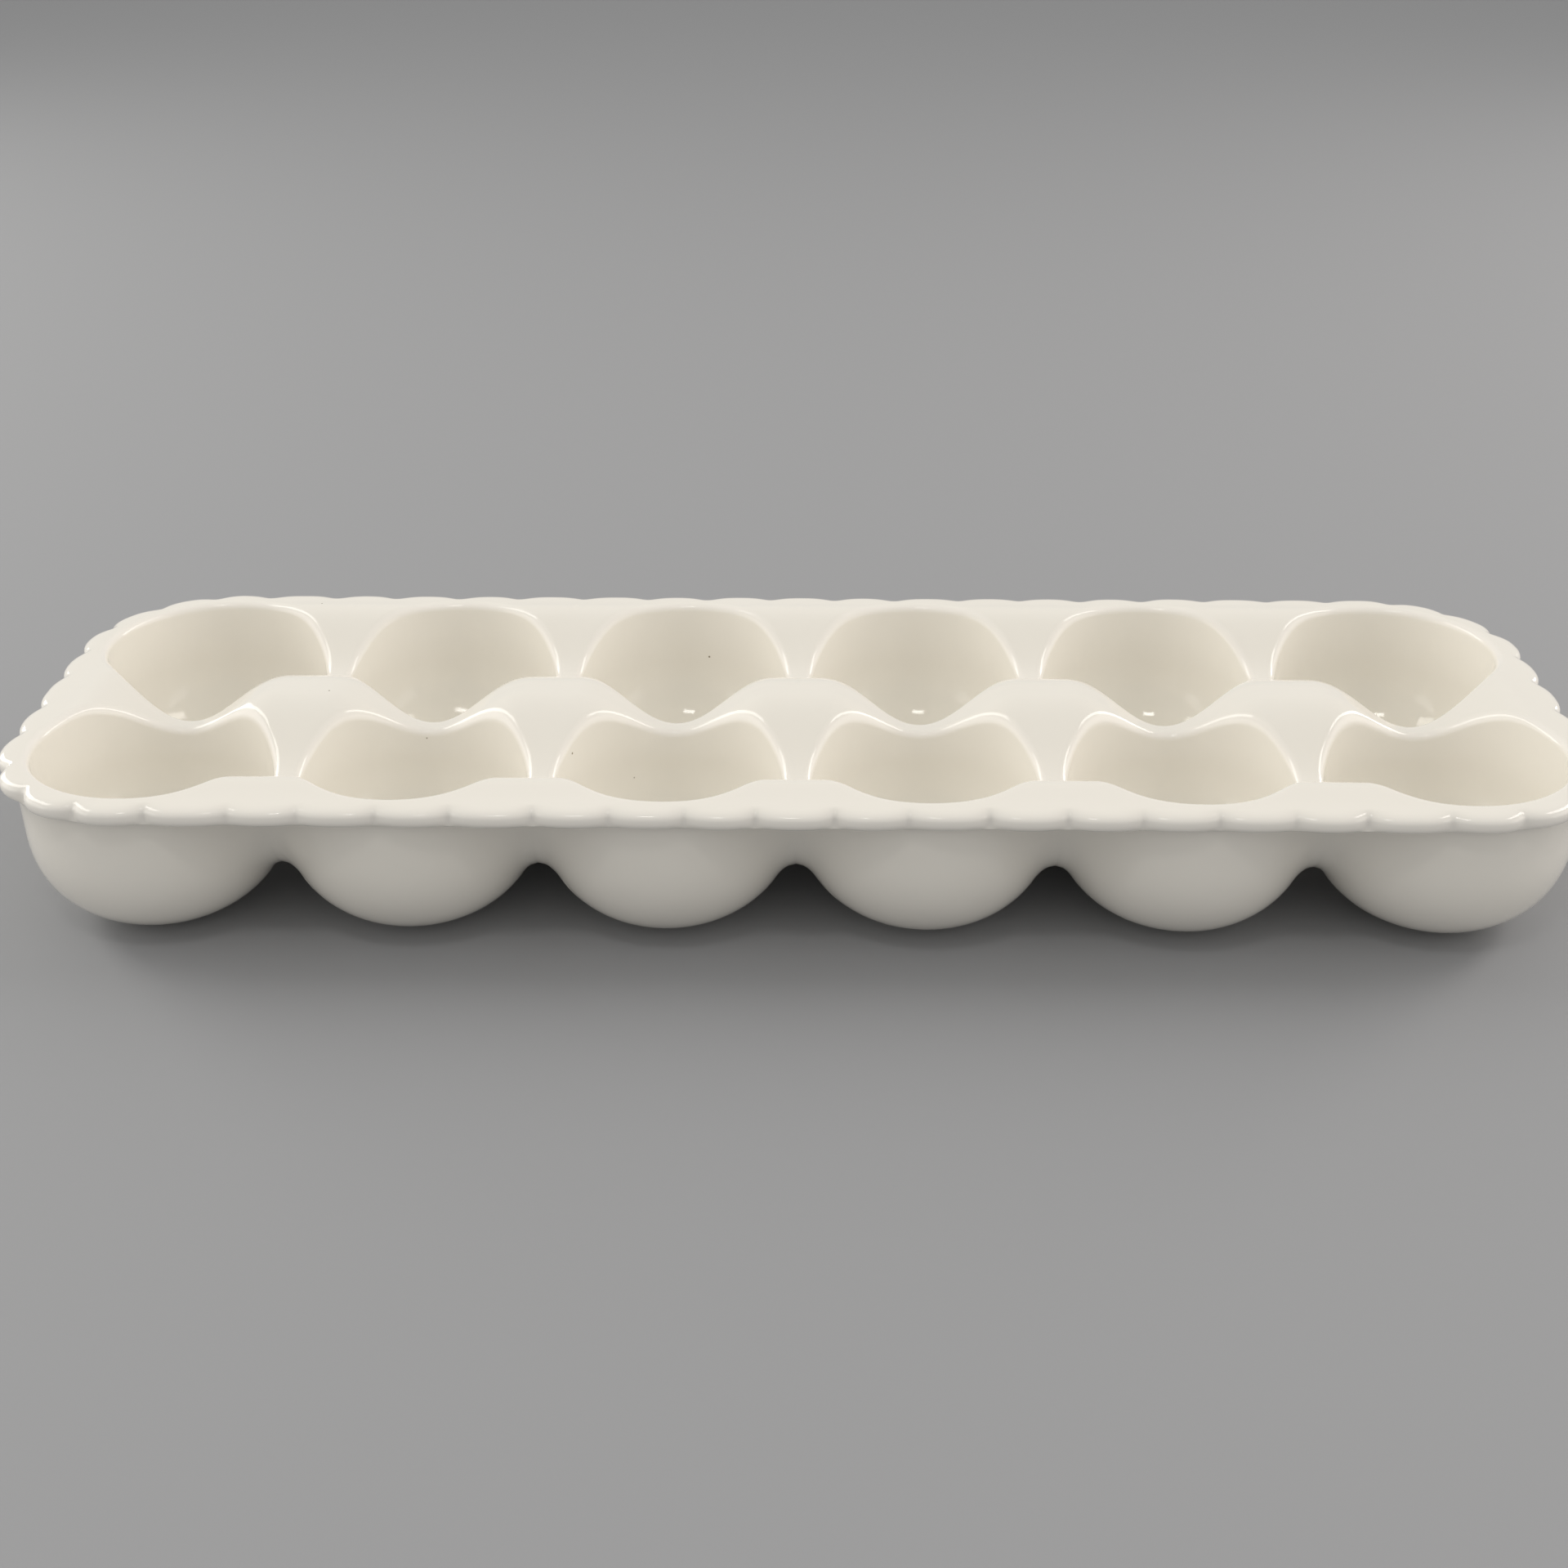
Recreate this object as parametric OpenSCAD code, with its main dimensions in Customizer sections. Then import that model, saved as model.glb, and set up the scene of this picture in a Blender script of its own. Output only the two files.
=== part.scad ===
// Egg holder tray: two rows of round wells cast as one glazed ceramic shell.
// The casting is drawn as the bowls it is made of, each with its square share of the
// deck, and the scalloped lip that runs round them in four lengths.
// +Z is up, +X runs along the tray, and the origin is under its middle, on the table.

/* [Tray] */
// Number of wells in each of the two rows
cups_long = 6; // [2:1:8]
// Distance between the middles of neighbouring wells
pitch = 50; // [48:1:56]
// Height of the deck above the table
height = 36; // [34:1:44]
// Thickness of the deck between the wells
deck_t = 4; // [3:0.5:4.5]

/* [Wells] */
// Radius of a well just under its rounded edge
well_r = 22.8; // [20:0.2:23]
// Wall thickness of a bowl at its widest
wall_t = 3; // [2.4:0.2:4]
// Thickness of a bowl's floor
floor_t = 3.6; // [2.6:0.2:5]
// Radius of the rounded edge round a well
edge_r = 2.2; // [1:0.2:2.4]
// Height at which a bowl is widest on its outside
belly_z = 20; // [18:1:24]
// How much a bowl widens from its belly to the deck
draft = 0.6; // [0:0.1:1]
// How far the round bottom of a bowl is flattened to stand on
foot_cut = 0.6; // [0.3:0.1:1.5]

/* [Dips between the wells] */
// Depth of the dip between neighbours in one row
row_dip = 12; // [0.5:0.5:14]
// Width of that dip at the deck
row_dip_w = 38; // [30:1:42]
// Depth of the dip between a front well and the rear well behind it
pair_dip = 7; // [0.5:0.5:10]
// Width of that dip at the deck
pair_dip_w = 30; // [24:1:36]
// Radius of the fillet that joins neighbouring bowls underneath
web_r = 8; // [5:0.5:10]
// Height of the arch under the joined bowls
arch_z = 12; // [8:1:16]

/* [Scalloped lip] */
// How far the lip's lobes stand out past the square of deck round a well
lip_out = 3; // [2:0.5:5]
// Depth of the notches between the lobes
notch = 1.6; // [0.6:0.2:1.8]
// Aimed width of a lobe
lobe_w = 14; // [10:1:20]
// Thickness of the lip
lip_t = 4; // [3.5:0.5:5]
// How far the lip's top lies below the top of the deck
lip_drop = 1; // [0.5:0.5:2]

/* [Hidden] */
$fn = 96;
ROWS = ["front", "rear"];
ENDS = ["left", "right"];

glaze = [0.91, 0.88, 0.83];
half = pitch / 2;                        // half of the square of deck round a well
bowl_r = well_r - draft + wall_t;        // outside of a bowl at its belly
well_belly_r = bowl_r - wall_t;          // inside of a bowl at its belly
belly_rise = belly_z + foot_cut;         // height of the outer half-ellipse under the belly
well_rise = belly_z - floor_t;           // depth of a well under its belly
straight_x = (cups_long - 1) * half;     // from the tray's middle to the last well's middle
lip_r = half + lip_out;                  // corner radius of the outline at the lobes' crests
corner_arc = lip_r * PI / 2;
quarter = straight_x + corner_arc + half;
lobes_quarter = round(quarter / lobe_w);
lobe = quarter / lobes_quarter;
profile_steps = 14;                      // straight runs along a bowl's curved profile
lobe_steps = 6;                          // straight runs along one lobe
cut = 1;                                 // how far a cutting solid runs past what it cuts

function col_x(col) = (col - (cups_long + 1) / 2) * pitch;
function row_y(row) = row == "front" ? -half : half;

// A quarter of an ellipse from its lowest point, where it is cut off at cut_r, to its widest
function ellipse_up(r, rise, mid_z, cut_r) =
    let (first = asin(cut_r / r))
    [for (i = [0:profile_steps])
        let (a = first + (90 - first) * i / profile_steps)
        [r * sin(a), mid_z - rise * cos(a)]];

// Outside of a bowl: flat foot, round bottom, belly and slightly widening wall
module bowl_outside() {
    foot_r = bowl_r * sqrt(1 - pow(belly_z / belly_rise, 2));
    rotate_extrude()
        polygon(concat([[0, 0]],
                       ellipse_up(bowl_r, belly_rise, belly_z, foot_r),
                       [[bowl_r + draft, height], [0, height]]));
}

// Space inside a well, opening through the rounded edge at the deck
module well_space() {
    mouth_r = well_r + edge_r;
    rotate_extrude()
        polygon(concat(ellipse_up(well_belly_r, well_rise, belly_z, 0),
                       [for (a = [0:15:90])
                           [mouth_r - edge_r * cos(a), height - edge_r + edge_r * sin(a)]],
                       [[mouth_r, height + cut], [0, height + cut]]));
}

// A trough along +X from the origin, cut down by depth from the deck and width wide there;
// extra swells it into the skin under the dip
module trough(depth, width, length, extra = 0) {
    r = (pow(width / 2, 2) + pow(depth, 2)) / (2 * depth);
    translate([0, 0, height - depth + r])
        rotate([0, 90, 0]) cylinder(r = r + extra, h = length);
}

// Fillets that join a bowl to its neighbour along +X, under the deck
module web() {
    reach = sqrt(pow(bowl_r + web_r, 2) - pow(half, 2));
    touch = bowl_r / (bowl_r + web_r);
    translate([0, 0, arch_z])
        linear_extrude(height - deck_t - arch_z + 0.5)
            difference() {
                translate([half * touch, -reach * touch])
                    square([half * (1 - touch), 2 * reach * touch]);
                for (side = [-1, 1]) translate([half, side * reach]) circle(web_r);
            }
}

// Ways, as turns about +Z, from a well to the neighbours in its row
function row_ways(col) = [if (col < cups_long) 0, if (col > 1) 180];

// Way from a well to its partner in the other row
function pair_way(row) = row == "front" ? 90 : -90;

// Deck over one well: a square whose corner is rounded where it is a corner of the tray
module cell(row, col, from_z, grow) {
    out_y = row == "front" ? -1 : 1;
    side_w = col == 1 ? -1 : 1;
    corner = col == 1 || col == cups_long;
    lo_x = col == 1 ? -half - grow : -half;
    hi_x = col == cups_long ? half + grow : half;
    translate([0, 0, from_z])
        linear_extrude(height - from_z + cut)
            intersection() {
                translate([lo_x, out_y < 0 ? -half - grow : -half])
                    square([hi_x - lo_x, pitch + grow]);
                if (corner)
                    union() {
                        circle(half + grow);
                        translate([side_w > 0 ? -pitch : 0, -pitch]) square([pitch, 2 * pitch]);
                        translate([-pitch, out_y > 0 ? -pitch : 0]) square([2 * pitch, pitch]);
                    }
                else
                    square(4 * pitch, center = true);
            }
}

// One bowl with its share of the deck, the dips and the fillets underneath
module cup(row, col) {
    lip_under = height - lip_drop - lip_t;
    color(glaze)
        translate([col_x(col), row_y(row), 0])
            difference() {
                intersection() {
                    union() {
                        bowl_outside();
                        translate([-pitch, -pitch, height - deck_t])
                            cube([2 * pitch, 2 * pitch, deck_t]);
                        for (way = row_ways(col)) rotate(way) {
                            trough(row_dip, row_dip_w, half, deck_t);
                            web();
                        }
                        rotate(pair_way(row)) {
                            trough(pair_dip, pair_dip_w, half, deck_t);
                            web();
                        }
                    }
                    translate([-pitch, -pitch, 0]) cube([2 * pitch, 2 * pitch, height]);
                    union() {
                        cell(row, col, 0, 0);
                        difference() {
                            cell(row, col, 0, lip_out);
                            cell(row, col, -cut, 0);
                            translate([-pitch, -pitch, lip_under])
                                cube([2 * pitch, 2 * pitch, height]);
                        }
                    }
                }
                well_space();
                for (way = row_ways(col)) rotate(way) trough(row_dip, row_dip_w, half + cut);
                rotate(pair_way(row)) trough(pair_dip, pair_dip_w, half + cut);
            }
}

// Point on the outline at s from the middle of the front edge towards the right,
// for the first quarter of the way round
function edge_point(s, r) =
    s < straight_x ? [s, -half - r] :
    s < straight_x + corner_arc ?
        let (a = (s - straight_x) / lip_r * 180 / PI)
        [straight_x + r * sin(a), -half - r * cos(a)] :
    [straight_x + r, -half + s - straight_x - corner_arc];

// Height of the lobe's crest above its notches, as a fraction, at s along the outline
function lobe_swell(s) = 1 - pow(2 * abs(s / lobe - round(s / lobe)), 2);

// Points of the scalloped outline from the middle of the front edge to the right-hand end
outline_quarter = [
    for (i = [0:lobes_quarter * lobe_steps])
        let (s = i * lobe / lobe_steps)
        edge_point(s, lip_r - notch * (1 - lobe_swell(s)))];

// A run of points mirrored by sign_x and sign_y, without its last point, or turned end for
// end without its first
function flip(points, sign_x, sign_y, turn) =
    let (n = len(points) - 1)
    [for (i = [0:n - 1])
        let (p = points[turn ? n - i : i])
        [sign_x * p[0], sign_y * p[1]]];

// The whole ring of the lip, from the square of deck out to the lobes
module lip_ring() {
    translate([0, 0, height - lip_drop - lip_t])
        linear_extrude(lip_t)
            difference() {
                polygon(concat(flip(outline_quarter, 1, 1, false),
                               flip(outline_quarter, 1, -1, true),
                               flip(outline_quarter, -1, -1, false),
                               flip(outline_quarter, -1, 1, true)));
                square([2 * straight_x, 2 * pitch], center = true);
                square([2 * straight_x + pitch, pitch], center = true);
                for (x = [-1, 1], y = [-1, 1])
                    translate([x * straight_x, y * half]) circle(half);
            }
}

// Straight length of lip along the front or the rear
module rim_side(row) {
    y = row == "front" ? -pitch - half : pitch - half;
    color(glaze)
        intersection() {
            lip_ring();
            translate([-straight_x, y, 0]) cube([2 * straight_x, pitch, height]);
        }
}

// Lip round one end, with both of its corners
module rim_end(end) {
    color(glaze)
        mirror([end == "left" ? 1 : 0, 0, 0])
            intersection() {
                lip_ring();
                translate([straight_x, -2 * pitch, 0]) cube([pitch, 4 * pitch, height]);
            }
}

for (row = ROWS, col = [1:cups_long])
    cup(row, col);
for (row = ROWS) rim_side(row);
for (end = ENDS) rim_end(end);
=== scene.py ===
# Egg holder tray in cream glazed stoneware: one casting of round wells with a pie-crust lip.
# The casting is shaped as one skin, then kept as the sections that the frame names.
import math
import bpy
import numpy as np
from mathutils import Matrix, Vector


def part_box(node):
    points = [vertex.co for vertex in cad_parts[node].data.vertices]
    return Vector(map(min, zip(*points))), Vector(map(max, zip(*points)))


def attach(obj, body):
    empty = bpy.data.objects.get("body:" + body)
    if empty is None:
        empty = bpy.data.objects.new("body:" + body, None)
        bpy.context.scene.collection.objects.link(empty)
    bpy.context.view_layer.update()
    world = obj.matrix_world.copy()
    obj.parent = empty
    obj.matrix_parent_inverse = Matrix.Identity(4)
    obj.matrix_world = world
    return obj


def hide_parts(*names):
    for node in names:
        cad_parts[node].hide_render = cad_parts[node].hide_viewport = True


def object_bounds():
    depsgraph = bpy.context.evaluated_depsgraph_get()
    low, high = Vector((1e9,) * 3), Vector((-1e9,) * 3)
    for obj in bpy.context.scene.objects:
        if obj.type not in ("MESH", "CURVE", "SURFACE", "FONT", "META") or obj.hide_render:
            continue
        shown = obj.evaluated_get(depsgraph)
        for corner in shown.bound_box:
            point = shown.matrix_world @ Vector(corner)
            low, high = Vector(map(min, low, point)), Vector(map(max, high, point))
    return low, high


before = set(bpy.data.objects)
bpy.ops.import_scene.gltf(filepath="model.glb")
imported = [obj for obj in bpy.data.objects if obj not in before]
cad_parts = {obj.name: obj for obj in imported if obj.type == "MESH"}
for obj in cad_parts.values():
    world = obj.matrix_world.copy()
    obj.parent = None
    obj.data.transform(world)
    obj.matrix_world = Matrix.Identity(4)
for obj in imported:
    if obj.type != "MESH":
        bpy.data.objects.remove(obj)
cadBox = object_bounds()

mm = 0.001
cupNames = sorted(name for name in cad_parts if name.startswith("cup_"))
columns = max(int(name.split("_")[2]) for name in cupNames)
innerLow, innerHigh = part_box("cup_front_2")
pitch = (innerHigh.x - innerLow.x) / mm      # between the middles of neighbouring wells
half = pitch / 2                             # half of the square of deck round one well
deckTop = (cadBox[1].z - cadBox[0].z) / mm
lastWell = (columns - 1) * half              # from the tray's middle to the last well's middle


def linearColour(hexText):  # sRGB hex to the linear colour that the shaders take
    parts = [int(hexText[i:i + 2], 16) / 255 for i in (1, 3, 5)]
    return [c / 12.92 if c <= 0.04045 else ((c + 0.055) / 1.055) ** 2.4 for c in parts] + [1.0]


def addNode(tree, kind, inputs=(), **settings):  # one node with its settings, values and links
    node = tree.nodes.new(kind)
    for name, value in settings.items():
        setattr(node, name, value)
    pairs = inputs.items() if isinstance(inputs, dict) else enumerate(inputs)
    for key, value in pairs:
        if isinstance(value, bpy.types.Node):
            value = value.outputs[0]
        if isinstance(value, bpy.types.NodeSocket):
            tree.links.new(value, node.inputs[key])
        elif value is not None:
            node.inputs[key].default_value = value
    return node


# The blank: every section as a closed solid with a level deck, in mm. Its heights are stored as
# a base and a share of the deck's height, which the form below turns into dips and hills.
perSide = 100                  # faces along each side of a well's square
searchRows = 600               # trial rows that find where a bowl meets its neighbours
halvings = 40                  # steps of the search for a blended radius
tiny = 1e-6                    # two lengths that differ by less are the same

well = {
    "radius": 21.8,            # at its widest, under the deck
    "mouth": 22.4,             # where the rounded edge starts
    "widestAt": 22.0,          # height of the widest part above the table
    "floor": 3.6,              # thickness under the well
    "edgeWide": 1.9,           # rounded edge, across
    "edgeDeep": 1.8,           # rounded edge, down
    "rows": (18, 4, 10, 7),    # of faces: round bottom, wall, rounded edge, deck
}

bowl = {
    "radius": 25.2,            # outside, at its widest
    "widestAt": 22.6,          # height of the widest part above the table
    "footCut": 0.6,            # how far the round bottom is flattened to stand on
    "fullness": (2.07, 2.43),  # across and down; 2 is an ellipse in section, more is fuller
    "archHeight": 10.0,        # of the arch under joined bowls, above the table
    "blendLow": 7.0,           # how widely neighbouring bowls flow together up to the arch
    "blendHigh": 24.0,         # the same at the deck
    "taper": 0.35,             # widening of the wall up to the deck
    "cove": 1.25,              # reach of the hollow curve from the wall out under the deck
    "coveTurn": 2.5,           # more keeps that curve closer to the deck
    "rows": (3, 15, 14, 6),    # of faces: foot, round bottom, wall and cove, underside of the deck
}

lip = {
    "reach": 3.6,              # from the deck's edge out to a lobe's crest
    "thick": 3.8,              # the deck has the same thickness
    "square": 2.4,             # 2 is an ellipse in section, more is squarer
    "lobes": 14,               # in a quarter of the way round the tray
    "lipGlazeAndHighlight": 0.8,          # how thin the glaze ran on it, against 1 on a well's edge; it also sets the painted highlight on the lip
    "rows": 22,                # of faces, from the top of its root round to the underside
}

# how much further out the lip's root lies on its underside than on top
rootUnder = bowl["radius"] + bowl["taper"] + bowl["cove"] - half


def cellEdge(outX, outY):  # points round the square of deck, rounded where the tray has a corner
    u = np.linspace(-1, 1, perSide, endpoint=False)
    one = np.ones(perSide)
    sides = [np.c_[one, u], np.c_[-u, one], np.c_[-one, -u], np.c_[u, -one]]
    edge = half * np.concatenate(sides)
    if outX and outY:
        x, y = edge.T
        along = np.where(np.abs(x) > half - tiny, np.abs(y), pitch - np.abs(x)) / pitch
        turn = along * math.pi / 2
        arc = half * np.c_[outX * np.cos(turn), outY * np.sin(turn)]
        corner = (x * outX >= -tiny) & (y * outY >= -tiny)
        edge[corner] = arc[corner]
    return edge


def stage(rows, counts, i):  # how far along the i-th stretch of a profile each row is, 0 to 1
    start = sum(counts[:i])
    return np.clip((rows - start) / counts[i], 0, 1)


# The side that holds the egg, by rows from the middle of the well outwards: radius, reach of the
# deck's edge, base height, share of the deck's height, thin glaze with its painted highlight, deep
# glaze with its painted light, and the base height of the middle.
def wellSide(edge):
    reach = np.hypot(*edge.T)
    wide = well["edgeWide"] * np.tanh((reach - well["mouth"]) / well["edgeWide"])
    spare = reach - well["mouth"] - wide
    counts = well["rows"]
    curved = sum(counts[:3])
    last = curved + counts[3] * np.minimum(1, spare / counts[3])
    rows = np.linspace(0, 1, sum(counts) + 1)[1:, None] * last
    a = stage(rows, counts, 0) * math.pi / 2
    wall = stage(rows, counts, 1)
    b = stage(rows, counts, 2) * math.pi / 2
    deck = np.clip((rows - curved) / np.maximum(last - curved, tiny), 0, 1)
    r = well["radius"] * np.sin(a) + (well["mouth"] - well["radius"]) * wall
    r = r + wide * (1 - np.cos(b)) + spare * deck
    depth = well["widestAt"] - (well["widestAt"] - well["floor"]) * np.cos(a)
    base = depth * (1 - wall) - well["edgeDeep"] * wall * (1 - np.sin(b))
    # whiter on the rounded edge: thin glaze there, and a painted highlight along the edge
    edgeGlazeAndHighlight = np.sin(2 * b) ** 2 * wall
    # the deep-glaze mask is 1 at the well's bottom; the glaze paints light there
    return r, reach, base, wall, edgeGlazeAndHighlight, 1 - stage(rows, counts, 0), well["floor"]


def bowlProfile(rows):  # radius, height and blending of a bowl by row, from its foot outwards
    counts = bowl["rows"]
    high = bowl["widestAt"]
    rise = high + bowl["footCut"]
    across, down = (2 / fullness for fullness in bowl["fullness"])
    first = math.acos((high / rise) ** (1 / down))
    foot = stage(rows, counts, 0)
    a = first + stage(rows, counts, 1) * (math.pi / 2 - first)
    b = stage(rows, counts, 2) * math.pi / 2
    r = bowl["radius"] * np.sin(a) ** across * foot
    r = r + bowl["taper"] * b * 2 / math.pi + bowl["cove"] * (1 - np.cos(b)) ** bowl["coveTurn"]
    share = np.sin(b)
    depth = high - rise * np.maximum(np.cos(a), 0) ** down
    base = depth * (1 - share) - lip["thick"] * share
    above = (base + share * deckTop - bowl["archHeight"]) / (deckTop - bowl["archHeight"])
    blend = bowl["blendLow"] + (bowl["blendHigh"] - bowl["blendLow"]) * np.clip(above, 0, 1)
    return r, base, share, foot, blend


def pulled(r, blend, ray, neighbours):  # radius once the bowl flows together with its neighbours
    merged = r.copy()
    for dx, dy in neighbours:
        other = np.hypot(r * ray[:, 0] - dx, r * ray[:, 1] - dy)
        merged -= np.clip(1 - np.abs(other - r) / blend, 0, 1) ** 2 * blend / 4
    return merged


# The side that stands on the table, in the same way, with its bare foot in place of deep glaze and its
# painted light.
def bowlSide(edge, neighbours):
    reach = np.hypot(*edge.T)
    ray = edge / reach[:, None]
    counts = bowl["rows"]
    curved = sum(counts[:3])
    fine = np.linspace(0, curved, searchRows)[:, None]
    radius, _, _, _, blend = bowlProfile(fine)
    spare = pulled(np.tile(reach, (searchRows, 1)), blend, ray, neighbours) - radius
    atEdge = np.array([np.interp(0, -column, fine[:, 0]) for column in spare.T])
    spare = np.maximum(spare[-1], 0)
    last = np.where(spare > 0, curved + counts[3] * np.minimum(1, spare / counts[3]), atEdge)
    rows = np.linspace(0, 1, sum(counts) + 1)[1:, None] * last
    wanted, base, share, foot, blend = bowlProfile(np.minimum(rows, curved))
    wanted = wanted + spare * np.clip((rows - curved) / np.maximum(last - curved, tiny), 0, 1)
    low, high = np.zeros_like(rows), np.tile(reach, (len(rows), 1))
    for _ in range(halvings):                                # halve to where the radius is right
        middle = (low + high) / 2
        short = pulled(middle, blend, ray, neighbours) < wanted
        low, high = np.where(short, middle, low), np.where(short, high, middle)
    high[-1] = reach
    return high, reach, base, share, np.zeros_like(rows), 1 - foot, 0.0


def ring(first, n):  # vertex numbers of one row that closes on itself
    return first + np.arange(n + 1) % n


def band(rowA, rowB):  # faces between two rows of vertices
    return np.c_[rowA[:-1], rowA[1:], rowB[1:], rowB[:-1]]


def cupBlank(column, front):  # one bowl with its square of deck, closed by the band of its cuts
    outX = -1 if column == 1 else 1 if column == columns else 0
    outY = -1 if front else 1
    centre = np.array([(column - (columns + 1) / 2) * pitch, half * outY])
    edge = cellEdge(outX, outY)
    under = edge.copy()                                      # the lip's root lies further out
    for axis, out in ((0, outX), (1, outY)):
        outside = edge[:, axis] * out > 0
        under[outside, axis] *= 1 + rootUnder / half
    neighbours = [(side * pitch, 0) for side in (-1, 1) if side != outX] + [(0, -outY * pitch)]
    n = len(edge)
    values = {"xyz": [], "share": [], "edgeGlazeAndHighlight": [], "deep": []}
    faces = []
    lastRows = []
    sheets = ((edge, wellSide(edge), True), (under, bowlSide(under, neighbours), False))
    for points, sheet, up in sheets:
        r, reach, base, share, edgeGlazeAndHighlight, deep, middle = sheet
        start = sum(len(part) for part in values["share"])
        ray = points / reach[:, None]
        flat = np.stack([centre[0] + r * ray[:, 0], centre[1] + r * ray[:, 1], base], axis=-1)
        values["xyz"].append(np.vstack([[*centre, middle], flat.reshape(-1, 3)]))
        values["share"].append(np.r_[0.0, share.ravel()])
        values["edgeGlazeAndHighlight"].append(np.r_[0.0, edgeGlazeAndHighlight.ravel()])
        values["deep"].append(np.r_[1.0, deep.ravel()])
        rings = [ring(start + 1 + n * i, n) for i in range(len(r))]
        fan = np.c_[np.full(n, start), rings[0][:-1], rings[0][1:], rings[0][1:]]
        made = np.vstack([fan] + [band(a, b)[:, ::-1] for a, b in zip(rings, rings[1:])])
        faces.append(made if up else made[:, ::-1])
        lastRows.append(rings[-1])
    shell = np.vstack(faces)
    cuts = band(lastRows[1], lastRows[0])
    parts = {key: np.concatenate(value) for key, value in values.items()}
    upper = len(values["share"][0])                          # points of the well's side
    parts["bare"] = np.r_[np.zeros(upper), values["deep"][1]]
    parts["deep"][upper:] = 0
    parts["lobe"] = np.zeros(len(parts["share"]))
    parts["run"] = np.zeros(len(parts["share"]))
    parts["outward"] = np.zeros((len(parts["share"]), 3))
    return parts, shell, cuts


crestRadius = half + lip["reach"]
quarterRun = lastWell + crestRadius * math.pi / 2 + half     # a quarter of the way round the lip


def rimLine(name):  # root points, outward directions and the run round the tray for one length
    if name in ("rim_front", "rim_rear"):
        side = -1 if name == "rim_front" else 1
        count = round(2 * lastWell / pitch * perSide)
        x = np.linspace(-lastWell, lastWell, count + 1) * -side
        root = np.c_[x, np.full_like(x, side * pitch)]
        outward = np.c_[np.zeros_like(x), np.full_like(x, side)]
        run = x if side < 0 else 2 * quarterRun - x
    else:
        side = -1 if name == "rim_left" else 1
        turn = np.linspace(0, math.pi / 2, perSide + 1)
        y = np.linspace(-half, half, perSide + 1)
        corner = np.c_[np.sin(turn), -np.cos(turn)]
        outward = np.vstack([corner, np.tile([1.0, 0.0], (perSide - 1, 1)),
                             corner[::-1] * [1, -1]])
        middleLine = np.vstack([np.tile([lastWell, -half], (perSide + 1, 1)),
                                np.c_[np.full(perSide - 1, lastWell), y[1:-1]],
                                np.tile([lastWell, half], (perSide + 1, 1))])
        root = middleLine + half * outward
        cornerRun = lastWell + crestRadius * turn
        run = np.r_[cornerRun, quarterRun + y[1:-1], 2 * quarterRun - cornerRun[::-1]]
        if side < 0:
            root, outward = -root, -outward
            run = run + 2 * quarterRun
    return root, outward, run % (4 * quarterRun)


def rimBlank(name):  # one length of the lip: its rounded section swept along the deck's edge
    root, outward, run = rimLine(name)
    a = np.linspace(0, math.pi, lip["rows"] + 1)
    power = 2 / lip["square"]
    swell = np.abs(np.sin(a)) ** power
    swell[[0, -1]] = 0
    tall = np.sign(np.cos(a)) * np.abs(np.cos(a)) ** power
    start = np.where(a < math.pi / 2, 0, rootUnder)
    offset = start + (lip["reach"] - start) * swell
    base = lip["thick"] / 2 * (tall - 1)
    xy = root[None] + outward[None] * offset[:, None, None]
    n = len(root)
    count = len(a) * n
    xyz = np.concatenate([xy, np.broadcast_to(base[:, None, None], (len(a), n, 1))], axis=-1)
    lines = [np.arange(n) + n * i for i in range(len(a))]
    shell = np.vstack([band(p, q)[:, ::-1] for p, q in zip(lines, lines[1:])])
    inside = band(lines[-1], lines[0])[:, ::-1]
    section = np.arange(len(a)) * n
    ends = [list(section[::-1]), list(section + n - 1)]
    parts = {
        "xyz": xyz.reshape(-1, 3),
        "share": np.ones(count),
        # whiter on the lip's rounded nose: thin glaze there, and a painted highlight along its top
        "edgeGlazeAndHighlight": np.repeat(swell ** 2, n) * lip["lipGlazeAndHighlight"],
        "deep": np.zeros(count),
        "bare": np.zeros(count),
        "lobe": np.repeat(swell, n),
        "run": np.tile(run, len(a)),
        "outward": np.tile(np.c_[outward, np.zeros(n)], (len(a), 1)),
    }
    return parts, shell, inside.tolist() + ends


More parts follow.
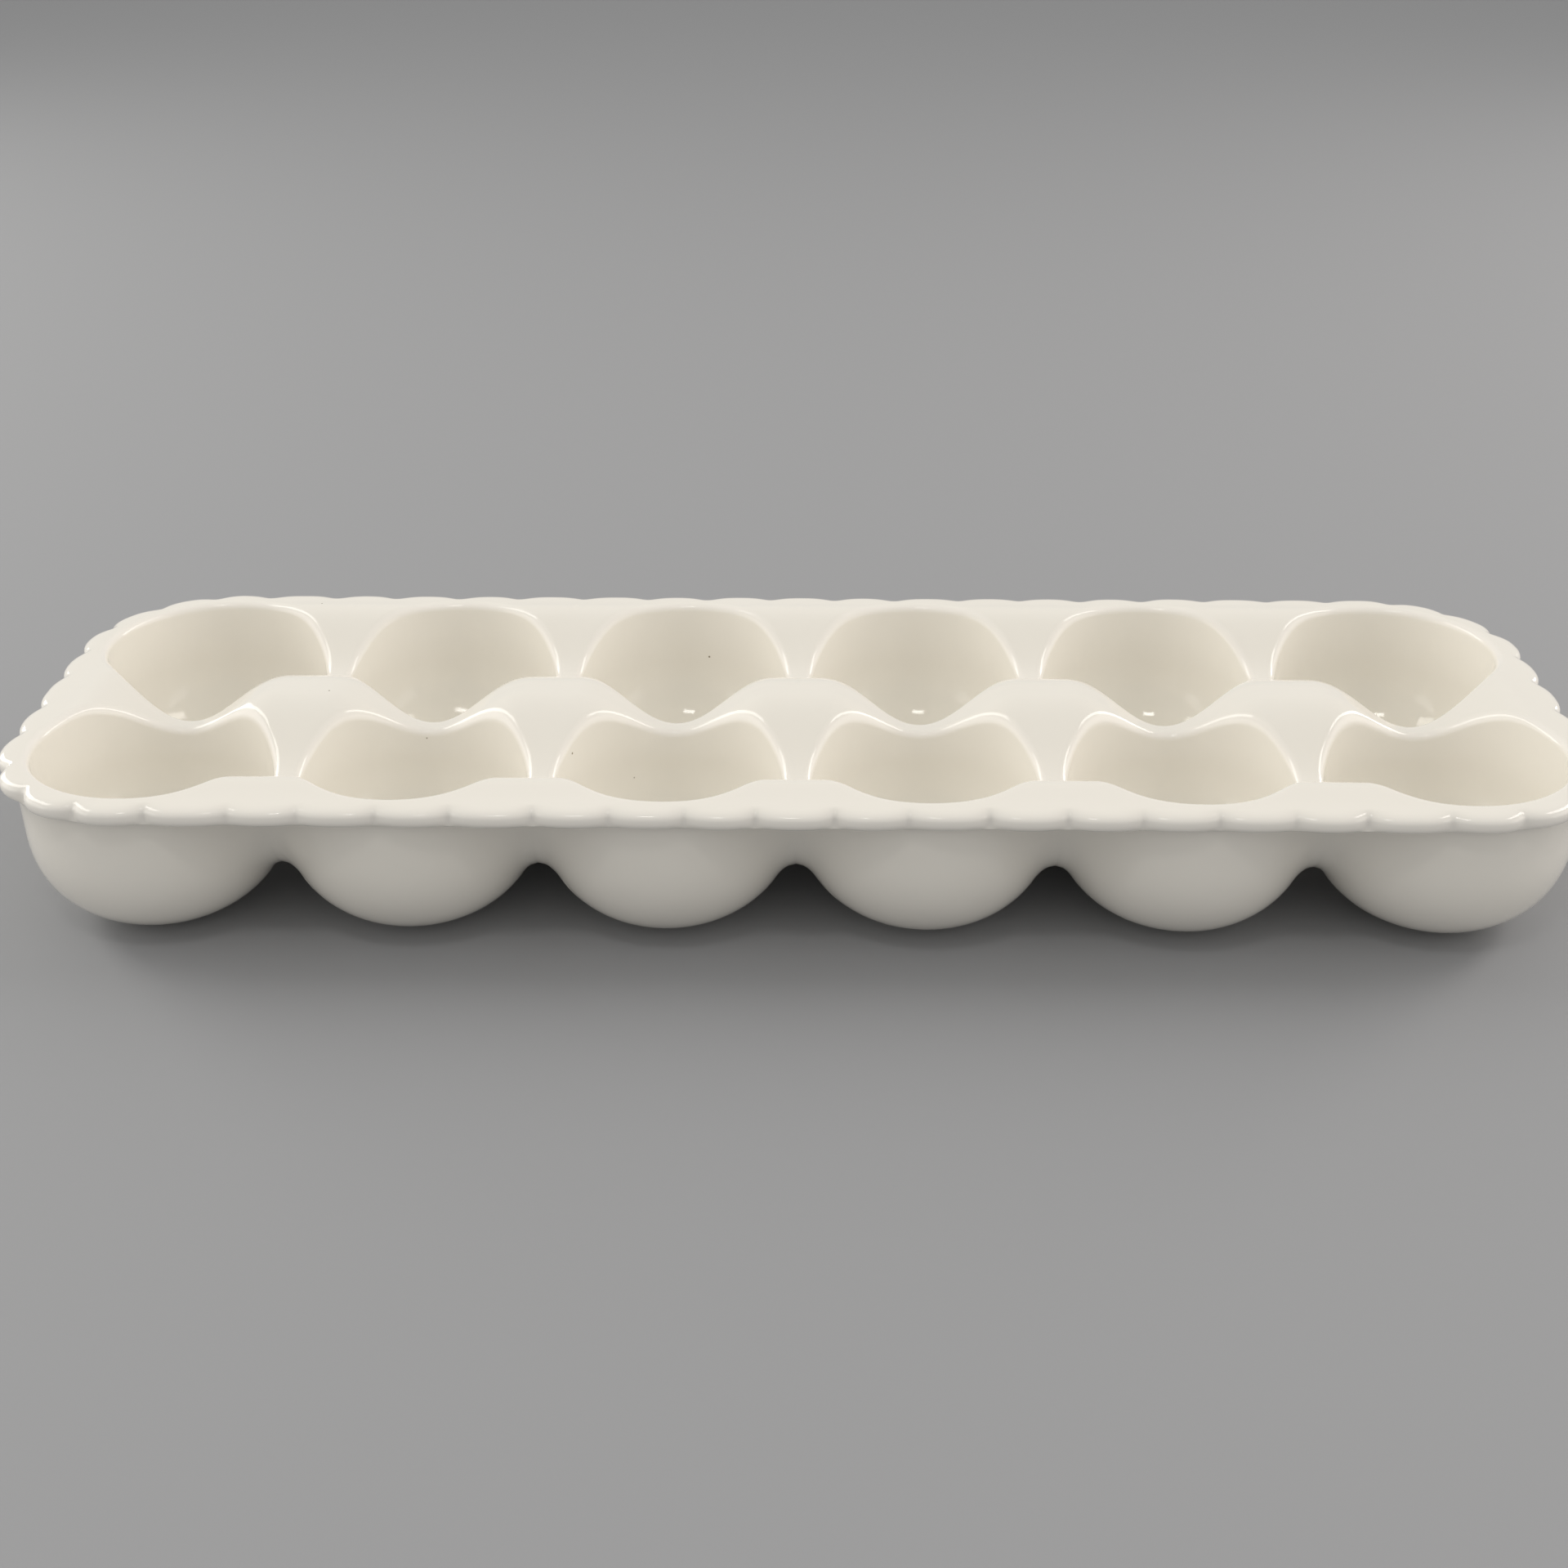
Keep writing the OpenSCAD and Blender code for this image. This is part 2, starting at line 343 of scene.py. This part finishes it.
# The form: a Geometry Nodes tree that gives the blank its dips, hills, lobes and hand-made
# unevenness. Lengths reach it in metres.
form = {
    "Deck height": deckTop * mm,
    "Well pitch": pitch * mm,
    "Last well": lastWell * mm,
    "Row dip": 8.5 * mm,               # between neighbours in one row
    "Row dip shift": 1.0 * mm,         # of its lowest line outwards from the wells' middles
    "Row dip inner width": 24.0 * mm,  # from that line to the dip's side near the tray's middle
    "Row dip front width": 16.5 * mm,  # to its outer side, in the front row
    "Row dip rear width": 20.5 * mm,   # to its outer side, in the rear row
    "Row dip end": 8.0 * mm,           # it dies out this far to each side of the last wells' middles
    "Pair dip": 8.0 * mm,              # between a front well and the rear well behind it
    "Pair dip width": 20.0 * mm,       # to each side
    "Pair dip full": 15.0 * mm,        # it is whole this far from the line between the rows
    "Pair dip end": 35.0 * mm,         # and has died out this far from it
    "Lip drop": 0.8 * mm,              # the lip lies this far under the hills of the deck
    "Lip drop width": 9.0 * mm,
    "Rear sag": 0.6 * mm,              # of the rear edge, from the firing
    "Rear sag width": 45.0 * mm,       # from the tray's middle line to where it is whole
    "Lobe width": quarterRun / lip["lobes"] * mm,
    "Notch place min": 0.44,           # the middle of its lobe's width is 0.5
    "Notch place max": 0.56,
    "Notch depth": 2.2 * mm,
    "Notch depth min": 0.7,            # times the depth above
    "Notch depth max": 1.15,
    "Notch pinch": 1.2 * mm,           # how much thinner the lip is pinched at a notch
    "Notch softness": 0.003,           # rounds the crease at the bottom of a notch
    "Notch sharpness": 2.6,            # more makes the lobes flatter and the notches narrower
    "Lip thickness": lip["thick"] * mm,
    "Unevenness": 0.22 * mm,           # of a surface pressed and dipped by hand
    "Unevenness scale": 28.0,          # bumps in a metre, so 36 mm each
    "Unevenness full": 4.0 * mm,       # height above the table where it is whole; none at the feet
    "Seed": 11,
}


def buildForm():
    tree = bpy.data.node_groups.new("trayForm", "GeometryNodeTree")
    tree.interface.new_socket("Geometry", in_out="OUTPUT", socket_type="NodeSocketGeometry")
    tree.interface.new_socket("Geometry", in_out="INPUT", socket_type="NodeSocketGeometry")
    for name, value in form.items():
        kind = "NodeSocketInt" if isinstance(value, int) else "NodeSocketFloat"
        tree.interface.new_socket(name, in_out="INPUT", socket_type=kind)
    tree.interface.new_socket("Glaze", in_out="INPUT", socket_type="NodeSocketMaterial")
    given = addNode(tree, "NodeGroupInput").outputs
    mathKind = "ShaderNodeMath"
    savedKind = "GeometryNodeInputNamedAttribute"
    place = addNode(tree, "GeometryNodeInputPosition")
    at = addNode(tree, "ShaderNodeSeparateXYZ", (place,)).outputs
    x = addNode(tree, mathKind, (at["X"],), operation="ABSOLUTE")
    y = addNode(tree, mathKind, (at["Y"],), operation="ABSOLUTE")
    halfPitch = addNode(tree, mathKind, (given["Well pitch"], 0.5), operation="MULTIPLY")

    # what the blank carries at each point
    share = addNode(tree, savedKind, {"Name": "share"}, data_type="FLOAT")
    lobe = addNode(tree, savedKind, {"Name": "lobe"}, data_type="FLOAT")
    run = addNode(tree, savedKind, {"Name": "run"}, data_type="FLOAT")
    outward = addNode(tree, savedKind, {"Name": "outward"}, data_type="FLOAT_VECTOR")

    def valley(distance, width):  # 1 in the middle of a dip, falling smoothly to 0 at its sides
        u = addNode(tree, mathKind, (distance, width), operation="DIVIDE")
        u = addNode(tree, mathKind, (u, 1.0), operation="MINIMUM")
        turn = addNode(tree, mathKind, (u, math.pi / 2), operation="MULTIPLY")
        c = addNode(tree, mathKind, (turn,), operation="COSINE")
        return addNode(tree, mathKind, (c, 2.0), operation="POWER")

    # dips between neighbours in a row, which die out past the last wells
    fromRow = addNode(tree, mathKind, (y, halfPitch), operation="SUBTRACT")
    fromRow = addNode(tree, mathKind, (fromRow, given["Row dip shift"]), operation="SUBTRACT")
    outside = addNode(tree, mathKind, (fromRow, 0.0), operation="GREATER_THAN")
    rear = addNode(tree, mathKind, (at["Y"], 0.0), operation="GREATER_THAN")
    outerWidth = addNode(tree, "ShaderNodeMapRange", (
        rear, 0.0, 1.0, given["Row dip front width"], given["Row dip rear width"]))
    rowWidth = addNode(tree, "ShaderNodeMapRange", (
        outside, 0.0, 1.0, given["Row dip inner width"], outerWidth))
    fromRow = addNode(tree, mathKind, (fromRow,), operation="ABSOLUTE")
    rowValley = valley(fromRow, rowWidth)
    endStart = addNode(tree, mathKind, (given["Last well"], given["Row dip end"]),
                       operation="SUBTRACT")
    endStop = addNode(tree, mathKind, (given["Last well"], given["Row dip end"]), operation="ADD")
    inside = addNode(tree, "ShaderNodeMapRange", (x, endStart, endStop, 1.0, 0.0),
                     interpolation_type="SMOOTHSTEP")
    rowDip = addNode(tree, mathKind, (rowValley, given["Row dip"]), operation="MULTIPLY")
    rowDip = addNode(tree, mathKind, (rowDip, inside), operation="MULTIPLY")

    # dips between the two rows, which die out towards the front and the rear
    fromSeam = addNode(tree, mathKind, (x, halfPitch), operation="PINGPONG")
    fromColumn = addNode(tree, mathKind, (halfPitch, fromSeam), operation="SUBTRACT")
    pairValley = valley(fromColumn, given["Pair dip width"])
    middle = addNode(tree, "ShaderNodeMapRange", (
        y, given["Pair dip full"], given["Pair dip end"], 1.0, 0.0), interpolation_type="SMOOTHSTEP")
    pairDip = addNode(tree, mathKind, (pairValley, given["Pair dip"]), operation="MULTIPLY")
    pairDip = addNode(tree, mathKind, (pairDip, middle), operation="MULTIPLY")

    # the fall of the deck to the level of the lip, at the outline and round the wells' outer sides
    pastX = addNode(tree, mathKind, (x, given["Last well"]), operation="SUBTRACT")
    pastX = addNode(tree, mathKind, (pastX, 0.0), operation="MAXIMUM")
    pastY = addNode(tree, mathKind, (y, halfPitch), operation="SUBTRACT")
    pastY = addNode(tree, mathKind, (pastY, 0.0), operation="MAXIMUM")
    past = addNode(tree, "ShaderNodeCombineXYZ", (pastX, pastY, 0.0))
    pastLength = addNode(tree, "ShaderNodeVectorMath", (past,), operation="LENGTH").outputs["Value"]
    inward = addNode(tree, mathKind, (halfPitch, pastLength), operation="SUBTRACT")
    fall = addNode(tree, "ShaderNodeMapRange", (inward, 0.0, given["Lip drop width"], 1.0, 0.0),
                   interpolation_type="SMOOTHSTEP")
    hill = addNode(tree, mathKind, (1.0, fall), operation="SUBTRACT")
    for besideWell in (rowValley, pairValley):
        rise = addNode(tree, mathKind, (1.0, besideWell), operation="SUBTRACT")
        hill = addNode(tree, mathKind, (hill, rise), operation="MULTIPLY")
    lipDrop = addNode(tree, mathKind, (1.0, hill), operation="SUBTRACT")
    lipDrop = addNode(tree, mathKind, (lipDrop, given["Lip drop"]), operation="MULTIPLY")

    deck = addNode(tree, mathKind, (given["Deck height"], rowDip), operation="SUBTRACT")
    deck = addNode(tree, mathKind, (deck, pairDip), operation="SUBTRACT")
    deck = addNode(tree, mathKind, (deck, lipDrop), operation="SUBTRACT")
    sag = addNode(tree, "ShaderNodeMapRange", (
        at["Y"], 0.0, given["Rear sag width"], 0.0, given["Rear sag"]), interpolation_type="SMOOTHSTEP")
    deck = addNode(tree, mathKind, (deck, sag), operation="SUBTRACT")
    raised = addNode(tree, mathKind, (share, deck), operation="MULTIPLY")
    z = addNode(tree, mathKind, (at["Z"], raised), operation="ADD")

    # lobes: a crease at each notch, each a little off its place and of its own depth
    lobes = addNode(tree, mathKind, (run, given["Lobe width"]), operation="DIVIDE")
    notch = addNode(tree, mathKind, (lobes,), operation="FLOOR")
    seedTwo = addNode(tree, mathKind, (given["Seed"], 1.0), operation="ADD")
    randomKind = "FunctionNodeRandomValue"
    shift = addNode(tree, randomKind, {
        2: given["Notch place min"], 3: given["Notch place max"], 7: notch, 8: given["Seed"]},
        data_type="FLOAT").outputs[1]
    depth = addNode(tree, randomKind, {
        2: given["Notch depth min"], 3: given["Notch depth max"], 7: notch, 8: seedTwo},
        data_type="FLOAT").outputs[1]
    centre = addNode(tree, mathKind, (notch, shift), operation="ADD")
    away = addNode(tree, mathKind, (lobes, centre), operation="SUBTRACT")
    away = addNode(tree, mathKind, (away, 2.0), operation="MULTIPLY")
    away = addNode(tree, mathKind, (away, away), operation="MULTIPLY")
    away = addNode(tree, mathKind, (away, given["Notch softness"]), operation="ADD")
    away = addNode(tree, mathKind, (away,), operation="SQRT")
    near = addNode(tree, mathKind, (1.0, away), operation="SUBTRACT")
    near = addNode(tree, mathKind, (near, 0.0), operation="MAXIMUM")
    near = addNode(tree, mathKind, (near, given["Notch sharpness"]), operation="POWER")
    near = addNode(tree, mathKind, (near, depth), operation="MULTIPLY")
    near = addNode(tree, mathKind, (near, lobe), operation="MULTIPLY")
    pullIn = addNode(tree, mathKind, (near, given["Notch depth"]), operation="MULTIPLY")
    pullIn = addNode(tree, mathKind, (pullIn, -1.0), operation="MULTIPLY")
    inPlace = addNode(tree, "ShaderNodeVectorMath", {0: outward, "Scale": pullIn}, operation="SCALE")
    level = addNode(tree, mathKind, (at["Z"], given["Lip thickness"]), operation="DIVIDE")
    level = addNode(tree, mathKind, (level, 0.5), operation="ADD")
    pinch = addNode(tree, mathKind, (near, given["Notch pinch"]), operation="MULTIPLY")
    pinch = addNode(tree, mathKind, (pinch, level), operation="MULTIPLY")
    z = addNode(tree, mathKind, (z, pinch), operation="SUBTRACT")

    # hand-made unevenness: the noise lies within 0.5 of its middle, so it counts twice
    spot = addNode(tree, "ShaderNodeCombineXYZ", (at["X"], at["Y"], z))
    wander = addNode(tree, "ShaderNodeTexNoise", {
        "Vector": spot, "W": given["Seed"], "Scale": given["Unevenness scale"], "Detail": 1.0},
        noise_dimensions="4D").outputs["Color"]
    wander = addNode(tree, "ShaderNodeVectorMath", (wander, (0.5, 0.5, 0.5)), operation="SUBTRACT")
    offFoot = addNode(tree, "ShaderNodeMapRange", (z, 0.0, given["Unevenness full"], 0.0, 2.0),
                      interpolation_type="SMOOTHSTEP")
    amount = addNode(tree, mathKind, (offFoot, given["Unevenness"]), operation="MULTIPLY")
    wander = addNode(tree, "ShaderNodeVectorMath", {0: wander, "Scale": amount}, operation="SCALE")
    whole = addNode(tree, "ShaderNodeVectorMath", (spot, inPlace), operation="ADD")
    whole = addNode(tree, "ShaderNodeVectorMath", (whole, wander), operation="ADD")

    moved = addNode(tree, "GeometryNodeSetPosition", {
        "Geometry": given["Geometry"], "Position": whole})
    real = addNode(tree, "GeometryNodeRealizeInstances", (moved,))
    glazed = addNode(tree, "GeometryNodeSetMaterial", {
        "Geometry": real, "Material": given["Glaze"]})
    addNode(tree, "NodeGroupOutput", (glazed,))
    return tree


glaze = {
    "body": "#EFEBE2",
    "cloudy": "#F2EEE6",        # faint clouds in the body
    "pooledPaintedLight": "#FBF7EB",        # thick, at the bottom of a well, and lighter than the body as painted light in the shaded hollow
    "thinEdgesAndHighlight": "#F8F4ED",         # thin, where it ran off an edge, and whiter there as a painted highlight
    "pinholes": "#8D8270",
    "clay": "#E4DDCF",          # bare, under the feet
    "roughness": (0.07, 0.11),
    "clayRoughness": 0.7,
    "ior": 1.52,
    "cloudScale": 35.0,         # clouds in a metre, so 29 mm each
    "pinholeScale": 70.0,       # pinholes in a metre, so 14 mm apart
    "pinholeRadius": (0.012, 0.02),  # as a share of that distance, so 0.5 mm across
    "peelScale": 200.0,         # crests in a metre, so 5 mm apart
    "peelHeight": 0.5 * mm,
    "peelStrength": 0.08,
}


def glazeMaterial():
    # Cream tin glaze on stoneware, dipped and fired: glassy, level in the wells and painted lighter at
    # their bottoms as painted light, thinner and whiter where it ran off the edges, the whiter also a
    # painted highlight, with a few pinholes. The foot is wiped bare before firing.
    material = bpy.data.materials.new("creamDippedGlaze")
    material.use_nodes = True
    tree = material.node_tree
    tree.nodes.clear()
    where = addNode(tree, "ShaderNodeTexCoord").outputs["Object"]
    edgeGlazeAndHighlight = addNode(tree, "ShaderNodeAttribute", attribute_name="edgeGlazeAndHighlight").outputs["Fac"]
    deep = addNode(tree, "ShaderNodeAttribute", attribute_name="deep").outputs["Fac"]
    bare = addNode(tree, "ShaderNodeAttribute", attribute_name="bare").outputs["Fac"]
    cloud = addNode(tree, "ShaderNodeTexNoise", {
        "Vector": where, "Scale": glaze["cloudScale"], "Detail": 3.0})
    holes = addNode(tree, "ShaderNodeTexVoronoi", {
        "Vector": where, "Scale": glaze["pinholeScale"]})
    hole = addNode(tree, "ShaderNodeMapRange", (holes, *glaze["pinholeRadius"], 1.0, 0.0))
    foot = addNode(tree, "ShaderNodeMapRange", (bare, 0.6, 0.75, 0.0, 1.0))
    colour = linearColour(glaze["body"])
    # the well-bottom layer paints light into the shaded hollows and the edge layer paints highlights
    # along the rounded edges; clouds, pinholes and clay are the glaze's own colour
    layers = {"cloudy": cloud, "pooledPaintedLight": deep, "thinEdgesAndHighlight": edgeGlazeAndHighlight, "pinholes": hole, "clay": foot}
    for name, mask in layers.items():
        over = linearColour(glaze[name])
        colour = addNode(tree, "ShaderNodeMix", {0: mask, 6: colour, 7: over},
                         data_type="RGBA").outputs[2]
    gloss = addNode(tree, "ShaderNodeMapRange", (cloud, 0.3, 0.7, *glaze["roughness"]))
    rough = addNode(tree, "ShaderNodeMix", {0: foot, 2: gloss, 3: glaze["clayRoughness"]})
    # the slight orange peel of a fired glaze
    peel = addNode(tree, "ShaderNodeTexNoise", {
        "Vector": where, "Scale": glaze["peelScale"], "Detail": 1.0})
    bump = addNode(tree, "ShaderNodeBump", {
        "Height": peel, "Strength": glaze["peelStrength"], "Distance": glaze["peelHeight"]})
    shader = addNode(tree, "ShaderNodeBsdfPrincipled", {
        "Base Color": colour, "Roughness": rough, "IOR": glaze["ior"], "Normal": bump})
    addNode(tree, "ShaderNodeOutputMaterial", (shader,))
    return material


def blankObject(name, blank):  # the blank as an object in metres, its values as attributes
    parts, shell, cuts = blank
    faces = []
    for a, b, c, d in shell.tolist():  # a triangle has one of its corners twice
        faces.append([a, b, c] if c == d else [b, c, d] if a == b else [a, b, c, d])
    mesh = bpy.data.meshes.new(name)
    mesh.from_pydata((parts["xyz"] * mm).tolist(), [], faces + [list(f) for f in cuts])
    for key in ("share", "edgeGlazeAndHighlight", "deep", "bare", "lobe", "run"):
        scale = mm if key == "run" else 1
        layer = mesh.attributes.new(key, "FLOAT", "POINT")
        layer.data.foreach_set("value", (parts[key] * scale).astype(np.float32))
    layer = mesh.attributes.new("outward", "FLOAT_VECTOR", "POINT")
    layer.data.foreach_set("vector", parts["outward"].astype(np.float32).ravel())
    thing = bpy.data.objects.new(name, mesh)
    bpy.context.scene.collection.objects.link(thing)
    return thing


def shaped(thing, tree, material):  # the blank after the form, as a plain mesh
    modifier = thing.modifiers.new("trayForm", "NODES")
    modifier.node_group = tree
    for item in tree.interface.items_tree:
        if item.item_type == "SOCKET" and item.in_out == "INPUT" and item.name in form:
            modifier[item.identifier] = form[item.name]
        elif item.item_type == "SOCKET" and item.name == "Glaze":
            modifier[item.identifier] = material
    graph = bpy.context.evaluated_depsgraph_get()
    mesh = bpy.data.meshes.new_from_object(thing.evaluated_get(graph))
    thing.modifiers.clear()
    blankMesh, thing.data = thing.data, mesh
    bpy.data.meshes.remove(blankMesh)
    for key in ("share", "lobe", "run", "outward"):
        mesh.attributes.remove(mesh.attributes[key])
    return mesh


def shareNormals(meshes, shells):  # the skin's normals run unbroken from section to section
    weld = 0.002 * mm                                        # closer points are one point
    points, sums = [], []
    for mesh, shell in zip(meshes, shells):
        xyz = np.empty(len(mesh.vertices) * 3, np.float32)
        mesh.vertices.foreach_get("co", xyz)
        xyz = xyz.reshape(-1, 3).astype(float)
        across = np.cross(xyz[shell[:, 2]] - xyz[shell[:, 0]], xyz[shell[:, 3]] - xyz[shell[:, 1]])
        total = np.zeros_like(xyz)
        for corner in range(4):
            np.add.at(total, shell[:, corner], across)
        points.append(xyz)
        sums.append(total)
    keys = np.round(np.vstack(points) / weld).astype(np.int64)
    same, member = np.unique(keys, axis=0, return_inverse=True)
    joined = np.zeros((len(same), 3))
    np.add.at(joined, member.ravel(), np.vstack(sums))
    normals = joined[member.ravel()]
    normals /= np.maximum(np.linalg.norm(normals, axis=1, keepdims=True), 1e-20)
    start = 0
    for mesh, shell, xyz in zip(meshes, shells, points):
        own = normals[start:start + len(xyz)]
        start += len(xyz)
        corners = np.empty(len(mesh.loops), np.int32)
        mesh.loops.foreach_get("vertex_index", corners)
        starts = np.empty(len(mesh.polygons), np.int32)
        mesh.polygons.foreach_get("loop_start", starts)
        flat = np.empty(len(mesh.polygons) * 3, np.float32)
        mesh.polygons.foreach_get("normal", flat)
        flat = flat.reshape(-1, 3)
        faceOf = np.searchsorted(starts, np.arange(len(corners)), side="right") - 1
        perCorner = own[corners]
        cutFace = faceOf >= len(shell)
        perCorner[cutFace] = flat[faceOf[cutFace]]
        mesh.polygons.foreach_set("use_smooth", np.ones(len(mesh.polygons), bool))
        mesh.normals_split_custom_set(perCorner.tolist())


def makeTray():
    tree = buildForm()
    material = glazeMaterial()
    blanks = {}
    for name in cupNames:
        blanks[name] = cupBlank(int(name.split("_")[2]), name.startswith("cup_front"))
    for name in sorted(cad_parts):
        if name.startswith("rim_"):
            blanks[name] = rimBlank(name)
    meshes = []
    for name, blank in blanks.items():
        section = blankObject("glazed_" + name, blank)
        meshes.append(shaped(section, tree, material))
        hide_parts(name)
        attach(section, "root")
    shareNormals(meshes, [blank[1] for blank in blanks.values()])
    print("tray:", len(meshes), "sections,", sum(len(m.polygons) for m in meshes), "faces")


room = {
    "floor": "#9C9DA0",
    "floorRoughness": 0.75,
    "floorSize": 12.0,                 # m
    "sky": "#FBFAF7",
    "ambient": 0.6,
    "camera": (3.2, -390.0, 213.45),   # mm
    "lens": 48.46,                     # mm
    "sensor": 36,                      # mm
    "pitchDown": 27.08,                # degrees
    "heading": 0.89,                   # degrees, from +Y towards -X
    "roll": -0.09,                     # degrees
}

# panels of light: place in m, roll in degrees, size in m, power in W, colour
lights = {
    "leftStrip": ((-0.8, 0.35, 0.55), 50, (1.1, 0.26), 3.5, "#FFFCF6"),
    "rightStrip": ((0.8, 0.35, 0.55), -50, (1.1, 0.2), 3.3, "#FFF9F3"),
    "leftFill": ((-1.5, -0.1, 0.45), 0, (1.6, 0.8), 4.2, "#FFFBF4"),
    "rightFill": ((1.5, -0.1, 0.45), 0, (1.6, 0.8), 4.0, "#FFF8F0"),
    "frontLamp": ((-0.1, -0.6, 1.1), 0, (0.25, 0.1), 0.9, "#FFFCF8"),
}


def makeFloor():
    mesh = bpy.data.meshes.new("floor")
    side = room["floorSize"] / 2
    corners = [(-side, -side, 0), (side, -side, 0), (side, side, 0), (-side, side, 0)]
    mesh.from_pydata(corners, [], [(0, 1, 2, 3)])
    floor = bpy.data.objects.new("floor", mesh)
    bpy.context.scene.collection.objects.link(floor)
    material = bpy.data.materials.new("matteGreyPaper")
    material.use_nodes = True
    shader = material.node_tree.nodes["Principled BSDF"]
    shader.inputs["Base Color"].default_value = linearColour(room["floor"])
    shader.inputs["Roughness"].default_value = room["floorRoughness"]
    mesh.materials.append(material)


def areaLight(name, place, roll, size, power, colour):  # a panel turned towards the tray
    data = bpy.data.lights.new(name, "AREA")
    data.shape = "RECTANGLE"
    data.size, data.size_y = size
    data.energy = power
    data.color = linearColour(colour)[:3]
    light = bpy.data.objects.new(name, data)
    bpy.context.scene.collection.objects.link(light)
    light.location = place
    light.rotation_euler = Vector(place).to_track_quat("Z", "Y").to_euler()
    light.rotation_euler.rotate_axis("Z", math.radians(roll))


def makeLights():
    world = bpy.data.worlds.new("studio")
    world.use_nodes = True
    sky = world.node_tree.nodes["Background"]
    sky.inputs["Color"].default_value = linearColour(room["sky"])
    sky.inputs["Strength"].default_value = room["ambient"]
    bpy.context.scene.world = world
    for name, values in lights.items():
        areaLight(name, *values)


def makeCamera():
    data = bpy.data.cameras.new("camera")
    data.lens = room["lens"]
    data.sensor_width = room["sensor"]
    data.clip_start = 0.01
    camera = bpy.data.objects.new("camera", data)
    bpy.context.scene.collection.objects.link(camera)
    camera.location = [c * mm for c in room["camera"]]
    camera.rotation_euler = (math.radians(90 - room["pitchDown"]), 0, math.radians(room["heading"]))
    camera.rotation_euler.rotate_axis("Z", math.radians(room["roll"]))
    bpy.context.scene.camera = camera


makeCamera()
makeFloor()
makeLights()
print("studio ready")
makeTray()
bpy.context.scene.view_settings.view_transform = "Standard"
